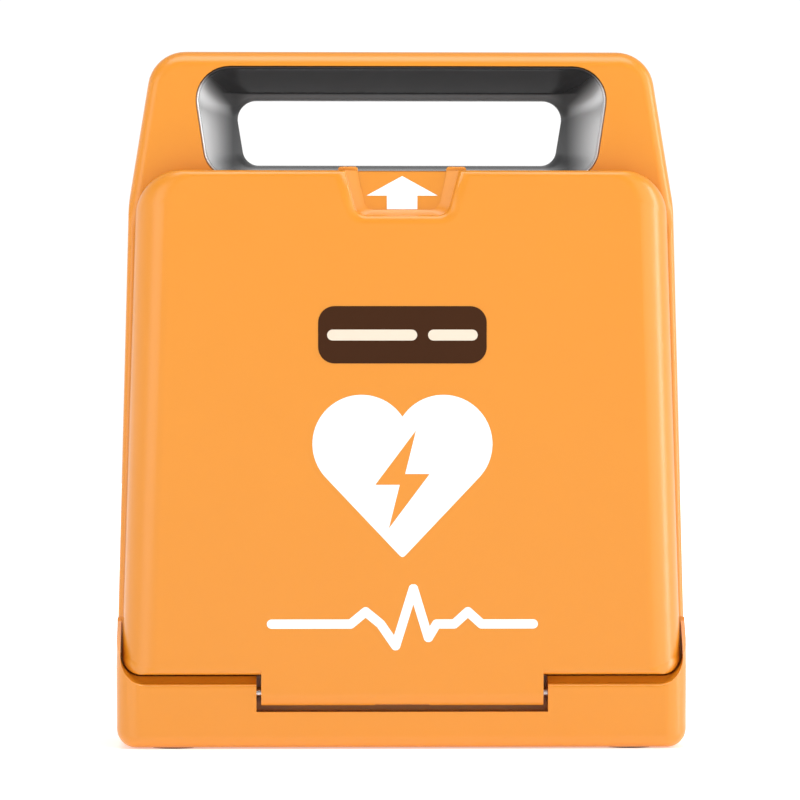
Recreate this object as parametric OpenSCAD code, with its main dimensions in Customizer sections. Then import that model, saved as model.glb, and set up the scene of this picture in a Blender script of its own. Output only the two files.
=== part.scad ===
// Automated external defibrillator, training version, standing upright.
// Millimetres, +Z up, the lid faces -Y, and the origin is the middle of the resting plane.

/* [Case] */
// Width of the case at its base
case_w = 210; // [208:0.5:212]
// Height of the case
case_h = 257; // [255:0.5:258]
// Y of the front of the base ledge
ledge_y = -38; // [-38.4:0.1:-37.8]
// Y of the front face that the lid closes on
face_y = -24; // [-24.4:0.1:-24]
// Y of the parting plane between the two shells
part_y = 6; // [5:0.5:7]
// Y of the flat back
back_y = 38.2; // [38:0.1:38.4]
// Height of the base ledge
ledge_h = 24; // [23.6:0.1:24.2]
// Wall thickness of the shells
wall = 2.6; // [2.4:0.1:2.8]

/* [Handle] */
// Half width of the hand opening at its top
grip_half_w = 61.2; // [58:0.2:61.6]
// Z of the bottom of the hand opening
grip_z0 = 215.8; // [215:0.2:216]
// Z of the top of the hand opening
grip_z1 = 240; // [238:0.2:240.4]

/* [Lid] */
// Height of the lid's top edge
lid_top = 212.4; // [212:0.1:212.6]
// Height of the lid's bottom edge
lid_bottom = 27.4; // [27.2:0.1:28]
// Y of the lid's front
lid_y = -39; // [-39:0.1:-38.8]
// Height of the hinge axis
hinge_z = 20.6; // [20.5:0.1:20.8]
// Y of the hinge axis
hinge_y = -33; // [-33:0.1:-32.9]
// Half width of the hinge tab
tab_half_w = 51.75; // [50:0.25:52]
// Radius of the hinge pins
pin_r = 1.5; // [1.4:0.05:1.5]

/* [Controls] */
// Radius of the shock button
shock_r = 15; // [14:0.5:15.5]
// Travel of the shock button
shock_travel = 2; // [1.5:0.1:2.2]
// Travel of the adult and child switch
mode_travel = 8; // [7:0.5:8]

/* [Battery] */
// Half width of the battery pack
pack_half_w = 45.2; // [44.8:0.1:45.3]
// Z of the bottom of the battery pack
pack_z0 = 36.8; // [36.6:0.1:37]
// Z of the top of the battery pack
pack_z1 = 119.2; // [119:0.1:119.2]
// Radius of one battery cell
cell_r = 9.1; // [8.8:0.1:9.2]

/* [Hidden] */
$fn = 48;
orange = [0.98, 0.62, 0.22];
dark = [0.16, 0.17, 0.19];
grey = [0.75, 0.76, 0.78];
steel = [0.7, 0.71, 0.73];
rubber = [0.1, 0.1, 0.11];
white = [0.96, 0.96, 0.95];

gap = 0.25;
skin = 0.4;
foot_drop = 0.5;
half_w = case_w / 2;
lid_rim_y = face_y - 0.3;
tab_bottom = hinge_z - 4.4;
tab_r = hinge_y - lid_y;
notch_half_w = tab_half_w + 1.75;
notch_floor = hinge_z - tab_r - 0.9;
throat_y = 2;
rear_rim_y = 36;

deck_half_w = 83;
deck_z0 = 34;
deck_z1 = 190;
deck_thick = 2.4;
flange_y = face_y + wall + 0.2;
flange_thick = 2;
tray_back_y = -12;
shock_at = [40, 152];
language_at = [-4, 176];
mode_at = [-4, 134];
speaker_at = [-48, 152];
socket_at = [60, 124];
lens_at = [8, 176];
shock_floor = -20.4 + shock_travel;
mode_slot = mode_travel / 2 + 5;
pouch_x1 = 50;

liner_y0 = -33.6;
liner_y1 = -31.6;
board_y = 0;
board_z0 = 114;
board_z1 = 186;
board_screw_at = [for (s = [-1, 1], z = [board_z0 + 4, board_z1 - 4]) [s * 78, z]];

boss_r = 4.6;
low_screw = [80, 14, 36.5];
side_screw = [90.8, 110, 36.5];
top_screw = [83.6, 243, 25.4];
screw_at = [for (s = [-1, 1], p = [low_screw, side_screw, top_screw]) [s * p[0], p[1], p[2]]];
panel_screw_at = [for (s = [-1, 1], z = [32, 192]) [s * 60, z]];
lid_screw_at = [for (s = [-1, 1], z = [48, 120, 186]) [s * 84, z]];
foot_at = [for (s = [-1, 1], y = [-24, 26]) [s * 84, y]];
back_foot_at = [for (s = [-1, 1], z = [30, 176]) [s * 80, z]];

scoop_y = -34.2;
slider_z0 = 197.4;
slider_z1 = 213.9;
slider_back_y = -32.4;
lug_x = 13.6;
lug_z = 198.5;
carrier_lug_z = 203.6;

bay_y = 12;
pack_y0 = 13;
latch_z = 106;

// ---------- outlines ----------

function unit(v) = v / norm(v);

// Arc that rounds corner b of the path a-b-c with radius r
function corner(a, b, c, r, n = 7) =
    let (u = unit(a - b), w = unit(c - b), half = acos(u * w) / 2)
    let (m = b + unit(u + w) * r / sin(half))
    let (p = b + u * r / tan(half) - m, q = b + w * r / tan(half) - m)
    let (start = atan2(p[1], p[0]), turn = (atan2(q[1], q[0]) - start + 540) % 360 - 180)
    [for (i = [0:n]) m + r * [cos(start + turn * i / n), sin(start + turn * i / n)]];

// Closed outline through points [x, z, corner radius]
function rounded(pts) = let (n = len(pts)) [
    for (i = [0:n - 1])
        let (a = pts[(i + n - 1) % n], b = pts[i], c = pts[(i + 1) % n])
        each b[2] > 0
            ? corner([a[0], a[1]], [b[0], b[1]], [c[0], c[1]], b[2])
            : [[b[0], b[1]]]
];

// Both halves of an outline given by its right half
function both_sides(half) = concat(
    half,
    [for (i = [len(half) - 1:-1:0]) [-half[i][0], half[i][1], half[i][2]]]
);

function inset_rect(x, z0, z1, r) = rounded([[x, z0, r], [x, z1, r], [-x, z1, r], [-x, z0, r]]);

// Front view of the case: near-straight sides, a bend at the shoulders, round top corners
module case_outline() {
    polygon(rounded(both_sides([
        [half_w - 0.2, foot_drop, 7],
        [half_w, 30, 40],
        [half_w - 4.3, 201, 60],
        [half_w - 13.4, case_h, 14]
    ])));
}

// Side view of the case: base ledge in front, sloping back behind the handle
module case_profile() {
    polygon(rounded([
        [ledge_y, foot_drop, 5],
        [back_y, foot_drop, 6],
        [back_y, 192, 30],
        [24, case_h, 9],
        [face_y, case_h, 6],
        [face_y, 47, 0],
        [ledge_y, 27.5, 2]
    ]));
}

// Front view of the lid, moved in by dx at its sides and dz at its ends
module lid_outline(dx = 0, dz = 0) {
    polygon(rounded(both_sides([
        [103.2 - dx, lid_bottom + dz, max(1, 7 - (dx + dz) / 2)],
        [97.6 - dx, lid_top - dz, 17 - (dx + dz) / 2]
    ])));
}

// Front view of the space above the base ledge; its round corners leave the ledge curling up
module lid_bay(rise = 0) {
    polygon(rounded(both_sides([
        [103.5, ledge_h + rise, 9 - rise / 2],
        [105.4, 50, 0.4]
    ])));
}

module rim_outline() {
    polygon(rounded(both_sides([
        [70.3, 211, 11],
        [76.6, 250.7, 12]
    ])));
}

module throat_outline() {
    polygon(rounded(both_sides([
        [grip_half_w - 3.4, grip_z0, 6],
        [grip_half_w + 0.6, grip_z1, 7]
    ])));
}

module rear_rim_outline() {
    polygon(rounded(both_sides([
        [67, 208, 11],
        [72, 247, 11]
    ])));
}

// ---------- building blocks ----------

// Extrudes an XZ outline from y0 to y1
module slab(y0, y1) {
    translate([0, y1, 0])
        rotate([90, 0, 0])
            linear_extrude(height = y1 - y0)
                children();
}

// Cylinder along Y from y0 to y1 at [x, z]
module rod_y(at, r, y0, y1) {
    translate([at[0], y1, at[1]])
        rotate([90, 0, 0])
            cylinder(r = r, h = y1 - y0);
}

// Cylinder along X from x0 to x1 at [y, z]
module rod_x(at, r, x0, x1) {
    translate([x0, at[0], at[1]])
        rotate([0, 90, 0])
            cylinder(r = r, h = x1 - x0);
}

// Box from corner to corner
module block(low, high) {
    translate(low)
        cube(high - low);
}

// Helical spring along Z from z = 0, as one swept tube
module coil(r, wire, turns, height, sides = 6, steps = 12) {
    n = turns * steps;
    rings = [
        for (i = [0:n], k = [0:sides - 1])
            let (a = 360 * i / steps, b = 360 * k / sides, rr = r + wire * cos(b))
            [rr * cos(a), rr * sin(a), wire + (height - 2 * wire) * i / n + wire * sin(b)]
    ];
    walls = [
        for (i = [0:n - 1], k = [0:sides - 1])
            let (k1 = (k + 1) % sides)
            each [
                [i * sides + k, (i + 1) * sides + k, (i + 1) * sides + k1],
                [i * sides + k, (i + 1) * sides + k1, i * sides + k1]
            ]
    ];
    ends = [[for (k = [0:sides - 1]) k], [for (k = [sides - 1:-1:0]) n * sides + k]];
    polyhedron(points = rings, faces = concat(walls, ends));
}

// Spring along Y from y0 to y1 at [x, z]
module coil_y(at, r, wire, turns, y0, y1) {
    translate([at[0], y1, at[1]])
        rotate([90, 0, 0])
            coil(r, wire, turns, y1 - y0);
}

// Whole case as one solid: front view and side view, with its vertical edges eased
module case_block() {
    intersection() {
        hull() {
            slab(ledge_y, ledge_y + 0.1) offset(delta = -7) case_outline();
            slab(ledge_y + 6, back_y - 7) case_outline();
            slab(back_y - 0.1, back_y) offset(delta = -8) case_outline();
        }
        rotate([90, 0, 90])
            linear_extrude(height = case_w + 20, center = true)
                case_profile();
    }
}

// Hollow of the case between y0 and y1
module case_hollow(y0, y1, inset) {
    intersection() {
        slab(y0, y1) offset(delta = -inset) case_outline();
        rotate([90, 0, 90])
            linear_extrude(height = case_w + 20, center = true)
                offset(delta = -wall) case_profile();
    }
}

// Funnel between the front rim at y0 and the throat
module front_funnel(y0, grow) {
    hull() {
        slab(y0, y0 + 0.1) offset(delta = grow) rim_outline();
        slab(throat_y - 0.1, throat_y) offset(delta = grow) throat_outline();
    }
}

// Funnel between the throat and the rear rim
module rear_funnel(grow) {
    hull() {
        slab(throat_y, throat_y + 0.1) offset(delta = grow) throat_outline();
        slab(rear_rim_y, rear_rim_y + 0.1) offset(delta = grow) rear_rim_outline();
    }
}

// Everything behind the sloping back is kept out
module behind_back() {
    rotate([90, 0, 90])
        linear_extrude(height = case_w, center = true)
            polygon([[back_y, 150], [back_y, 192], [24, case_h], [24, 280], [80, 280], [80, 150]]);
}

// ---------- housings ----------

module rear_housing() {
    color(orange)
        difference() {
            union() {
                difference() {
                    intersection() {
                        case_block();
                        block([-120, part_y, -1], [120, 60, 300]);
                    }
                    difference() {
                        union() {
                            case_hollow(part_y - 1, 30, wall);
                            case_hollow(29, back_y - wall, 11);
                        }
                        rear_funnel(wall + 2.2);
                    }
                }
                block([-48.4, bay_y - 2, 33.4], [48.4, back_y - 1, 122.4]);
                for (p = screw_at)
                    rod_y(p, boss_r, part_y, p[2]);
                for (s = [-1, 1])
                    side_rib(s, part_y, 30);
            }
            rear_funnel(2.2);
            block([-46, bay_y, 36], [46, 60, 120]);
            block([-8.6, 29.6, 119], [8.6, 35.4, 124]);
            block([-16, bay_y - 3, 42], [16, bay_y + 1, 52]);
            for (p = screw_at) {
                rod_y(p, 1.7, 0, 60);
                rod_y(p, 3.3, 16, 60);
            }
            for (p = back_foot_at)
                rod_y(p, 7.2, 36.8, 60);
            for (p = foot_at)
                translate([p[0], p[1], -1])
                    cylinder(r = 8.2, h = 3.2);
            gasket_ring(part_y - 1, part_y + 0.8, 0.1);
        }
}

// Web that ties a side boss to the wall beside it
module side_rib(s, y0, y1) {
    block([s * 95.5 - 5.5, y0, side_screw[1] - 1], [s * 95.5 + 5.5, y1, side_screw[1] + 1]);
}

// Perimeter ring of the seal between the shells
module gasket_ring(y0, y1, grow) {
    difference() {
        slab(y0, y1) offset(delta = -0.9 + grow) case_outline();
        slab(y0 - 1, y1 + 1) offset(delta = -1.8 - grow) case_outline();
    }
}

// Space for the lid; behind the ledge its floor slopes up to the lid's bottom edge
module lid_space() {
    rise = lid_bottom - 0.8 - ledge_h;
    slab(ledge_y - 5, ledge_y + 1)
        lid_bay();
    hull() {
        slab(ledge_y + 0.9, ledge_y + 1)
            lid_bay();
        slab(-33.1, -33)
            lid_bay(rise);
    }
    slab(-33.1, face_y)
        lid_bay(rise);
}

module front_housing() {
    color(orange)
        difference() {
            union() {
                difference() {
                    intersection() {
                        case_block();
                        block([-120, -60, -1], [120, part_y, 300]);
                    }
                    difference() {
                        case_hollow(face_y + wall, part_y + 1, wall);
                        front_funnel(face_y - 0.5, wall + 2.8);
                    }
                    block([-92, ledge_y + wall, 4], [92, face_y + wall + 1, notch_floor - wall]);
                    for (s = [-1, 1])
                        block([s * 82 - 9, ledge_y + wall, 4],
                              [s * 82 + 9, face_y + wall + 1, ledge_h - wall]);
                }
                for (p = screw_at)
                    rod_y(p, boss_r, face_y + 1, part_y);
                for (s = [-1, 1]) {
                    side_rib(s, face_y + 1, part_y);
                    block([s * low_screw[0] - 1, face_y + 1, 2],
                          [s * low_screw[0] + 1, part_y, low_screw[1] - 3]);
                }
            }
            front_funnel(face_y - 0.5, 2.8);
            lid_space();
            block([-notch_half_w, -60, notch_floor], [notch_half_w, hinge_y + tab_r + 0.6, 40]);
            for (s = [-1, 1])
                rod_x([hinge_y, hinge_z], pin_r + 0.02, s * 60 - 9, s * 60 + 9);
            slab(face_y - 1, face_y + wall + 1)
                polygon(inset_rect(deck_half_w, deck_z0, deck_z1, 10));
            block([-9, face_y - 1, 199.8], [9, face_y + wall + 1, 206.2]);
            for (p = panel_screw_at)
                rod_y(p, 1.25, face_y + 0.6, 0);
            for (p = screw_at)
                rod_y(p, 1.6, face_y + 4, part_y + 1);
            for (p = foot_at)
                translate([p[0], p[1], -1])
                    cylinder(r = 8.2, h = 3.2);
            gasket_ring(part_y - 0.8, part_y + 1, 0.1);
        }
}

module handle_trim_front() {
    color(dark)
        difference() {
            front_funnel(face_y + 0.5, 2);
            hull() {
                slab(face_y + 0.3, face_y + 0.61) rim_outline();
                slab(throat_y - 0.1, throat_y + 0.1) throat_outline();
            }
        }
}

module handle_trim_rear() {
    color(dark)
        difference() {
            rear_funnel(2);
            hull() {
                slab(throat_y - 0.1, throat_y + 0.1) throat_outline();
                slab(rear_rim_y, rear_rim_y + 0.2) rear_rim_outline();
            }
            behind_back();
        }
}

module case_gasket() {
    color(rubber)
        gasket_ring(part_y - 0.7, part_y + 0.7, 0);
}

module case_screws() {
    color(steel)
        for (p = screw_at) {
            rod_y(p, 1.5, -14, 16.5);
            rod_y(p, 3, 16.2, 18.4);
        }
}

module base_feet() {
    color(rubber)
        for (p = foot_at)
            translate([p[0], p[1], 0])
                cylinder(r = 8, h = 2.1);
}

module back_feet() {
    color(rubber)
        for (p = back_foot_at)
            rod_y(p, 7, 36.9, 39);
}

module hinge_pins() {
    color(steel)
        for (s = [-1, 1])
            rod_x([hinge_y, hinge_z], pin_r, s * 54.5 - 13, s * 54.5 + 13);
}

// ---------- control panel ----------

// Block centred on the pads socket
module socket_block(half_x, half_z, y0, y1) {
    block([socket_at[0] - half_x, y0, socket_at[1] - half_z],
          [socket_at[0] + half_x, y1, socket_at[1] + half_z]);
}

module control_panel() {
    color(grey)
        difference() {
            union() {
                slab(face_y, face_y + deck_thick)
                    polygon(inset_rect(deck_half_w - gap, deck_z0 + gap, deck_z1 - gap, 9.8));
                slab(face_y + deck_thick - 0.1, flange_y)
                    polygon(inset_rect(deck_half_w - 2, deck_z0 + 2, deck_z1 - 2, 8));
                slab(flange_y, flange_y + flange_thick)
                    polygon(inset_rect(deck_half_w + 2.4, deck_z0 - 4, deck_z1 + 4, 9));
                block([-80, face_y + 1, 38], [80, tray_back_y + 2, 110]);
                for (p = board_screw_at)
                    rod_y(p, 3.4, face_y + 1, board_y);
                rod_y(speaker_at, 21.5, face_y + 1, -16);
                rod_y(shock_at, shock_r + 3.6, face_y + 1, -13);
                rod_y(language_at, 7.2, face_y + 1, -13);
            }
            slab(face_y - 1, tray_back_y)
                polygon(inset_rect(78, 40, 108, 6));
            rod_y(speaker_at, 19.7, face_y + 2, -10);
            for (ring = [0:2], k = [0:max(0, 6 * ring - 1)])
                rod_y(speaker_at + 5 * ring * [cos(k * 60 / max(1, ring)), sin(k * 60 / max(1, ring))],
                      1.4, face_y - 1, face_y + 3);
            rod_y(shock_at, shock_r + 1.9, face_y - 1, -15);
            rod_y(shock_at, 6, -16, 0);
            rod_y(language_at, 5.3, face_y - 1, -15);
            rod_y(language_at, 2, -16, 0);
            block([mode_at[0] - mode_slot, face_y - 1, mode_at[1] - 3],
                  [mode_at[0] + mode_slot, 0, mode_at[1] + 3]);
            socket_block(12.2, 8.2, face_y - 1, 0);
            socket_block(13.7, 9.7, flange_y - 0.1, 0);
            block([mode_at[0] - 8.4, -21.4, mode_at[1] - 4.8], [mode_at[0] + 7.4, 0, mode_at[1] + 4.8]);
            block([-74.2, -21.5, 157.8], [-69.8, 0, 166.2]);
            rod_y(lens_at, 2.6, face_y - 1, 0);
            block([-74.1, face_y - 1, 169.9], [-61.9, 0, 180.1]);
            for (p = board_screw_at)
                rod_y(p, 1.3, -12, 1);
            for (p = panel_screw_at)
                rod_y(p, 1.35, flange_y - 1, 0);
        }
}

module panel_overlay() {
    color(white)
        difference() {
            slab(face_y - skin, face_y)
                polygon(inset_rect(deck_half_w - 3, 114, deck_z1 - 3, 7));
            rod_y(speaker_at, 14, face_y - 1, face_y + 1);
            rod_y(shock_at, shock_r + 2.2, face_y - 1, face_y + 1);
            rod_y(language_at, 5.6, face_y - 1, face_y + 1);
            rod_y(lens_at, 2.8, face_y - 1, face_y + 1);
            block([mode_at[0] - mode_slot - 1, face_y - 1, mode_at[1] - 4],
                  [mode_at[0] + mode_slot + 1, 0, mode_at[1] + 4]);
            socket_block(13, 9, face_y - 1, 0);
            block([-75, face_y - 1, 169], [-61, 0, 181]);
        }
}

module panel_screws() {
    color(steel)
        for (p = panel_screw_at) {
            rod_y(p, 1.15, face_y + 0.8, flange_y + flange_thick + 0.2);
            rod_y(p, 2.2, flange_y + flange_thick, flange_y + flange_thick + 1.6);
        }
}

module shock_button() {
    color([0.95, 0.45, 0.1])
        union() {
            rod_y(shock_at, shock_r - 1.2, -26.6, -20.5);
            rod_y(shock_at, 3, -20.8, -14.5);
        }
}

module shock_button_ring() {
    color([0.9, 0.9, 0.85, 0.7])
        difference() {
            rod_y(shock_at, shock_r + 1.6, -24.9, -17.4);
            rod_y(shock_at, shock_r - 0.8, -26, shock_floor);
            rod_y(shock_at, 5.4, -19, -17);
        }
}

module shock_button_spring() {
    color(steel)
        coil_y(shock_at, 4.1, 0.4, 2, -20.4, -15.1);
}

module language_button() {
    color(dark)
        union() {
            rod_y(language_at, 4.8, -26, -20.5);
            rod_y(language_at, 1.4, -20.8, -14.5);
        }
}

module language_button_spring() {
    color(steel)
        coil_y(language_at, 2.6, 0.3, 3, -20.4, -15.1);
}

module mode_switch() {
    color(dark)
        union() {
            block([mode_at[0] - 8, face_y + deck_thick + 0.3, mode_at[1] - 4.5],
                  [mode_at[0] - 1, -19.4, mode_at[1] + 4.5]);
            block([mode_at[0] - 7, -26.2, mode_at[1] - 2.6], [mode_at[0] - 2, -21, mode_at[1] + 2.6]);
        }
}

module status_lens() {
    color([0.3, 0.8, 0.35])
        rod_y(lens_at, 2.4, -24.6, -20);
}

module remote_window() {
    color([0.12, 0.03, 0.05])
        block([-74, -24.5, 170], [-62, -21.6, 180]);
}

module pads_socket() {
    color(dark)
        difference() {
            union() {
                socket_block(12, 8, -24.6, -8);
                socket_block(13.4, 9.4, flange_y, flange_y + 1.6);
            }
            socket_block(10, 6, -30, -11);
        }
    color([0.85, 0.7, 0.3])
        for (k = [-1:1])
            rod_y([socket_at[0] + 6 * k, socket_at[1]], 0.9, -11.2, -10);
}

module pads_pouch() {
    color([0.8, 0.82, 0.86])
        slab(-26.6, tray_back_y - 0.6)
            polygon(rounded([[-74, 43, 5], [pouch_x1, 43, 5], [pouch_x1, 105, 5], [-74, 105, 5]]));
}

module speaker() {
    color(dark)
        difference() {
            union() {
                rod_y(speaker_at, 19.2, -21, -18);
                rod_y(speaker_at, 15, -18.4, -13);
                rod_y(speaker_at, 9, -13.4, -6);
            }
            translate([speaker_at[0], -15.5, speaker_at[1]])
                rotate([90, 0, 0])
                    cylinder(r1 = 6, r2 = 16, h = 5.6);
        }
}

// ---------- electronics ----------

module main_board() {
    color([0.1, 0.4, 0.22])
        difference() {
            block([-82, board_y, board_z0], [82, board_y + 1.6, board_z1]);
            for (p = board_screw_at)
                rod_y(p, 1.7, -5, 5);
        }
}

module board_parts() {
    top = board_y + 1.7;
    color(dark)
        for (p = [[-50, 150, 9, 9, 2], [-20, 165, 7, 5, 1.6], [30, 168, 12, 4, 3], [52, 140, 6, 8, 2.4]])
            block([p[0] - p[2], top, p[1] - p[3]], [p[0] + p[2], top + p[4], p[1] + p[3]]);
    color(steel)
        for (x = [-64, 64], z = [128, 168])
            rod_y([x, z], 4, top, top + 7);
    color([0.9, 0.88, 0.8])
        block([-8, top, 124], [8, top + 4, 130]);
}

module board_screws() {
    color(steel)
        for (p = board_screw_at) {
            rod_y(p, 1.2, -7.6, board_y + 1.9);
            rod_y(p, 2.6, board_y + 1.7, board_y + 3.4);
        }
}

module lid_sensor() {
    color(dark)
        block([-74, -21.4, 158], [-70, -18, 166]);
}

module battery_contacts() {
    color([0.85, 0.7, 0.3])
        union() {
            block([-15.6, bay_y - 3.6, 42.4], [15.6, bay_y - 0.2, 51.6]);
            for (x = [-10, 0, 10])
                block([x - 2, bay_y - 0.4, 45], [x + 2, bay_y + 0.8, 49]);
        }
}

module battery_harness() {
    color([0.3, 0.3, 0.32])
        union() {
            block([-5, 7.2, 46], [5, 8.2, 128]);
            block([-5, 6, 126.6], [5, 8.2, 128]);
        }
}

// ---------- battery pack ----------

// Tray that holds the cells, with finger grooves across its back
module battery_case() {
    color(dark)
        difference() {
            block([-pack_half_w, pack_y0 + 1.9, pack_z0], [pack_half_w, back_y - 0.2, pack_z1]);
            block([-pack_half_w + 1.8, 0, pack_z0 + 1.8], [pack_half_w - 1.8, 36, latch_z - 2.2]);
            block([-pack_half_w + 1.8, 0, pack_z0 + 1.8], [pack_half_w - 1.8, 27.8, pack_z1 - 1.8]);
            block([-11, 29.8, latch_z], [11, 60, 140]);
            for (z = [46:5:66])
                block([-26, back_y - 1.1, z], [26, back_y + 1, z + 1.8]);
        }
}

module battery_cover() {
    color(dark)
        difference() {
            block([-pack_half_w, pack_y0, pack_z0], [pack_half_w, pack_y0 + 1.8, pack_z1]);
            for (x = [-10, 0, 10])
                block([x - 3, 0, 44], [x + 3, 40, 50]);
        }
}

module battery_cells() {
    color([0.2, 0.35, 0.6])
        for (k = [-1.5:1.5])
            translate([20 * k, 25.2, 39.4])
                cylinder(r = cell_r, h = 62);
}

module battery_latch() {
    color(orange)
        union() {
            difference() {
                block([-10.6, 33, latch_z + 4.2], [10.6, back_y - 0.3, 119.2]);
                rod_x([back_y + 5, 114], 7, -7, 7);
            }
            block([-10.6, 30.1, latch_z + 4.2], [10.6, 33.1, 119.2]);
            block([-8, 30.4, 119], [8, 33.4, 121.8]);
        }
}

module battery_latch_spring() {
    color(steel)
        translate([0, 34, latch_z + 0.1])
            coil(2.4, 0.3, 3, 4);
}

// ---------- lid ----------

// Outer form of the lid, its front edges eased
module lid_block() {
    hull() {
        slab(-25.6, lid_rim_y) lid_outline();
        slab(-29.1, -29) lid_outline(0.46);
        slab(-33.1, -33) lid_outline(2.28);
        slab(-36.2, -36.1) lid_outline(5.2);
        slab(-38.1, -38) lid_outline(8.4, 0.6);
        slab(lid_y, lid_y + 0.1) lid_outline(13.4, 2.6);
    }
}

// Scoop for a fingertip: four-sided funnel, open at the lid's top edge
module scoop_funnel(grow) {
    hull() {
        slab(lid_y - 0.1, lid_y)
            offset(delta = grow)
                polygon([[-18.4, 194.6], [18.4, 194.6], [25, lid_top + 3], [-25, lid_top + 3]]);
        slab(scoop_y, scoop_y + 0.1)
            offset(delta = grow)
                polygon([[-13.4, 199], [13.4, 199], [17, lid_top + 3], [-17, lid_top + 3]]);
    }
}

module lid_shell() {
    color(orange)
        difference() {
            union() {
                difference() {
                    lid_block();
                    slab(-29.5, lid_rim_y + 1) lid_outline(2.6, 2.6);
                    slab(liner_y0 - 0.1, -29) lid_outline(4.7, 2.7);
                    slab(-36.4, -33) lid_outline(8.6, 3.4);
                }
                intersection() {
                    scoop_funnel(1.6);
                    block([-40, lid_y + 0.5, 190], [40, scoop_y + 0.05, lid_top]);
                }
                intersection() {
                    union() {
                        rod_x([hinge_y, hinge_z], tab_r, -tab_half_w, tab_half_w);
                        block([-tab_half_w, lid_y, hinge_z], [tab_half_w, hinge_y + tab_r, lid_bottom + 2]);
                    }
                    block([-60, -60, tab_bottom], [60, 0, 60]);
                }
                for (p = lid_screw_at)
                    rod_y(p, 3.4, -37, liner_y0);
            }
            for (s = [-1, 1])
                rod_x([hinge_y, hinge_z], pin_r + 0.06, s * 46.5 - 6, s * 46.5 + 6);
            for (p = lid_screw_at)
                rod_y(p, 1.3, -36, 0);
            scoop_funnel(0);
            block([-24, scoop_y - 0.02, 206], [24, -31.6, lid_top + 3]);
            mark_recess();
        }
}

// Shallow recesses that the sticker and the printed marks lie in
module mark_recess() {
    slab(lid_y - 1, lid_y + 0.35) {
        polygon(inset_rect(31.2, 141.2, 162.8, 6.2));
        offset(delta = 0.05) heart_shape();
        offset(delta = 0.05) pulse_shape();
    }
}

module lid_liner() {
    color(grey)
        difference() {
            slab(liner_y0, liner_y1) lid_outline(5, 3);
            block([-26, -60, 191], [26, 0, 260]);
            for (p = lid_screw_at)
                rod_y(p, 1.6, -60, 0);
            rod_y([-72, 162], 4.2, liner_y0 + 0.6, 0);
        }
}

module lid_seal() {
    color(rubber)
        difference() {
            slab(liner_y1, face_y - 0.2) lid_outline(5, 3.1);
            slab(-60, 0) lid_outline(7.5, 5.6);
        }
}

module lid_screws() {
    color(steel)
        for (p = lid_screw_at) {
            rod_y(p, 1.2, -35.6, liner_y1 + 0.2);
            rod_y(p, 2.6, liner_y1, liner_y1 + 1.6);
        }
}

module lid_magnet() {
    color(steel)
        rod_y([-72, 162], 4, liner_y0 + 0.7, liner_y1);
}

module latch_slider() {
    color(orange)
        union() {
            slab(scoop_y + 0.3, slider_back_y)
                polygon([[-16, slider_z0], [16, slider_z0], [16.6, 211.8], [-16.6, 211.8]]);
            for (s = [-1, 1]) {
                block([s * 20 - 3.6, scoop_y + 0.3, 209.6], [s * 20 + 3.6, slider_back_y, slider_z1]);
                block([s * lug_x - 2, slider_back_y - 0.1, lug_z - 2], [s * lug_x + 2, -27.8, lug_z]);
            }
            block([-8, slider_back_y - 0.1, 200.8], [8, -17.9, 203.2]);
            block([-8, -20.9, 197.9], [8, -17.9, 203.2]);
        }
}

module latch_carrier() {
    color(grey)
        difference() {
            union() {
                block([-24, -27.4, 192.4], [24, -25.6, 205.8]);
                for (s = [-1, 1])
                    block([s * lug_x - 3, -31.4, carrier_lug_z], [s * lug_x + 3, -27.3, 205.6]);
            }
            block([-9, -60, 199], [9, 0, 230]);
        }
}

module latch_springs() {
    color(steel)
        for (s = [-1, 1])
            translate([s * lug_x, -29.7, lug_z + 0.1])
                coil(1.6, 0.25, 3, carrier_lug_z - lug_z - 0.2);
}

module latch_arrow() {
    color(white)
        slab(scoop_y, scoop_y + 0.3)
            polygon([
                [0, 210.4],
                [13, 203.4],
                [5.6, 203.4],
                [5.6, 199.6],
                [-5.6, 199.6],
                [-5.6, 203.4],
                [-13, 203.4]
            ]);
}

module label_plate() {
    color([0.26, 0.14, 0.08])
        slab(lid_y, lid_y + 0.3)
            polygon(inset_rect(30.8, 141.6, 162.4, 6));
}

// Heart outline: two round lobes of radius r, then straight sides to the tip
function heart_points(r, lobe, tip_z) =
    let (d = norm([lobe[0], tip_z - lobe[1]]), a0 = 180 - acos(lobe[0] / r))
    let (a1 = atan2(tip_z - lobe[1], -lobe[0]) + acos(r / d), n = 20)
    let (right = [for (i = [0:n]) let (a = a0 + (a1 - a0) * i / n) lobe + r * [cos(a), sin(a)]])
    concat(right, [[0, tip_z]], [for (i = [n:-1:1]) [-right[i][0], right[i][1]]]);

// Plain filled heart with a six-cornered bolt cut out of its middle
module heart_shape() {
    difference() {
        polygon(heart_points(18, [15, 112], 70));
        polygon([[5, 117], [-10, 97], [-1, 97], [-5, 81], [10, 101], [1, 101]]);
    }
}

module heart_symbol() {
    color(white)
        slab(lid_y + 0.02, lid_y + 0.32)
            heart_shape();
}

function beside(path, d) = [
    for (i = [0:len(path) - 1])
        let (a = path[max(0, i - 1)], b = path[i], c = path[min(len(path) - 1, i + 1)])
        let (u = i == 0 ? unit(c - b) : unit(b - a), v = i == len(path) - 1 ? u : unit(c - b))
        let (nu = [-u[1], u[0]], m = unit(nu + [-v[1], v[0]]))
        b + m * d / (m * nu)
];

module pulse_shape() {
    path = [[-48, 46], [-18, 46], [-10, 52], [-3, 38], [5, 59], [12, 42], [20, 46], [48, 46]];
    left = beside(path, 1.4);
    right = beside(path, -1.4);
    polygon(concat(left, [for (i = [len(right) - 1:-1:0]) right[i]]));
}

module pulse_mark() {
    color(white)
        slab(lid_y + 0.02, lid_y + 0.32)
            pulse_shape();
}

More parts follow.
